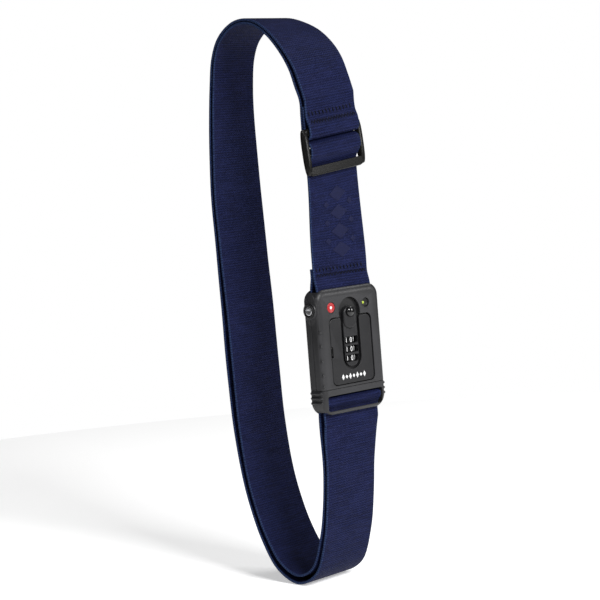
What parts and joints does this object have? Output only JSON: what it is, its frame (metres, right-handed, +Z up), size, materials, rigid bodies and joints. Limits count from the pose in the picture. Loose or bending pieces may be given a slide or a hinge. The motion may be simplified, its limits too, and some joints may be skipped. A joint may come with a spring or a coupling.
{
  "type": "luggage strap",
  "caption": "Doubled webbing loop for a suitcase, closed by a three-dial combination lock buckle with a master key port and shortened by a tri-glide adjuster.",
  "frame": {"origin": "middle of the inside of the top bend, where the loop hangs on a peg", "axes": "+X across the webbing to the right seen from the lock's face, the face looks towards -Y, +Z up along the loop"},
  "size_m": [0.0619, 0.1177, 0.3906],
  "materials": {
    "webbing": "heavy ribbed navy nylon webbing, matt with a faint sheen",
    "thread": "navy polyester sewing thread",
    "housing": "fine spark-textured black nylon",
    "face": "smoother satin black nylon",
    "buckle": "satin moulded black acetal",
    "gloss_black": "polished black",
    "bed_black": "flat black",
    "steel": "bright zinc-plated steel",
    "brass": "plain brass",
    "badge_red": "red pad print",
    "print_white": "white pad print",
    "signal_green": "yellow-green moulded flag"
  },
  "bodies": {
    "root": {"inner_run": "webbing", "outer_run": "webbing", "inner_span_top": "webbing", "outer_span_top": "webbing", "inner_span_low": "webbing", "outer_span_low": "webbing", "tab_fold": "webbing", "tab_span": "webbing", "front_shell": "housing", "back_shell": "housing", "face_panel": "face", "axle_block_top": "face", "axle_block_low": "face", "track_bed": "bed_black", "indicator_cup": "bed_black", "key_bezel": "bed_black", "top_pin": "steel", "dial_axle": "steel", "return_spring_left": "steel", "return_spring_right": "steel", "housing_screw_1": "steel", "housing_screw_2": "steel", "housing_screw_3": "steel", "housing_screw_4": "steel", "detent_spring": "brass", "colour_badge": "badge_red"},
    "adjuster": {"triglide": "buckle", "adjuster_hump": "webbing", "sewn_end": "webbing"},
    "plug": {"plug_cap": "housing", "plug_pin": "steel", "plug_wrap": "webbing", "prong_plate": "steel"},
    "first_dial": {"dial_1": "gloss_black", "dial_sleeve_1": "brass"},
    "second_dial": {"dial_2": "gloss_black", "dial_sleeve_2": "brass"},
    "third_dial": {"dial_3": "gloss_black", "dial_sleeve_3": "brass"},
    "slider": {"slider_knob": "face", "slider_dome": "gloss_black", "slider_carriage": "steel"},
    "left_pawl": {"latch_pawl_left": "steel"},
    "right_pawl": {"latch_pawl_right": "steel"},
    "key": {"key_plug": "steel", "key_cam": "brass"},
    "flag": {"indicator_flag": "signal_green"},
    "reset": {"reset_lever": "gloss_black"}
  },
  "joints": [
    {"name": "adjuster_slide", "type": "slide", "parent": "root", "child": "adjuster", "axis": [0, 0, 1], "range_m": [-0.03, 0], "deforming": ["tab_span", "inner_span_top", "outer_span_top"]},
    {"name": "plug_pull", "type": "slide", "parent": "root", "child": "plug", "axis": [0, 0, -1], "range_m": [0, 0.033], "deforming": ["inner_span_low", "outer_span_low"]},
    {"name": "dial_1_turn", "type": "hinge", "parent": "root", "child": "first_dial", "pos_m": [0, -0.05105, -0.2172], "axis": [0, 0, 1], "continuous": true},
    {"name": "dial_2_turn", "type": "hinge", "parent": "root", "child": "second_dial", "pos_m": [0, -0.05105, -0.2234], "axis": [0, 0, 1], "continuous": true},
    {"name": "dial_3_turn", "type": "hinge", "parent": "root", "child": "third_dial", "pos_m": [0, -0.05105, -0.2296], "axis": [0, 0, 1], "continuous": true},
    {"name": "release_slide", "type": "slide", "parent": "root", "child": "slider", "axis": [0, 0, 1], "range_m": [0, 0.0055], "stiffness_N_per_m": 250, "springref_m": -0.001, "deforming": ["return_spring_left", "return_spring_right"]},
    {"name": "left_pawl_slide", "type": "slide", "parent": "root", "child": "left_pawl", "axis": [-1, 0, 0], "range_m": [0, 0.0012]},
    {"name": "right_pawl_slide", "type": "slide", "parent": "root", "child": "right_pawl", "axis": [1, 0, 0], "range_m": [0, 0.0012]},
    {"name": "key_turn", "type": "hinge", "parent": "root", "child": "key", "pos_m": [-0.029, -0.05, -0.1945], "axis": [1, 0, 0], "range_deg": [0, 90]},
    {"name": "flag_slide", "type": "slide", "parent": "root", "child": "flag", "axis": [1, 0, 0], "range_m": [0, 0.0025]},
    {"name": "reset_slide", "type": "slide", "parent": "root", "child": "reset", "axis": [0, 0, -1], "range_m": [0, 0.0015]}
  ],
  "couplings": [
    {"joint": "left_pawl_slide", "follows": "release_slide", "ratio": 0.218},
    {"joint": "right_pawl_slide", "follows": "release_slide", "ratio": 0.218},
    {"joint": "flag_slide", "follows": "key_turn", "m_per_rad": 0.00159}
  ]
}
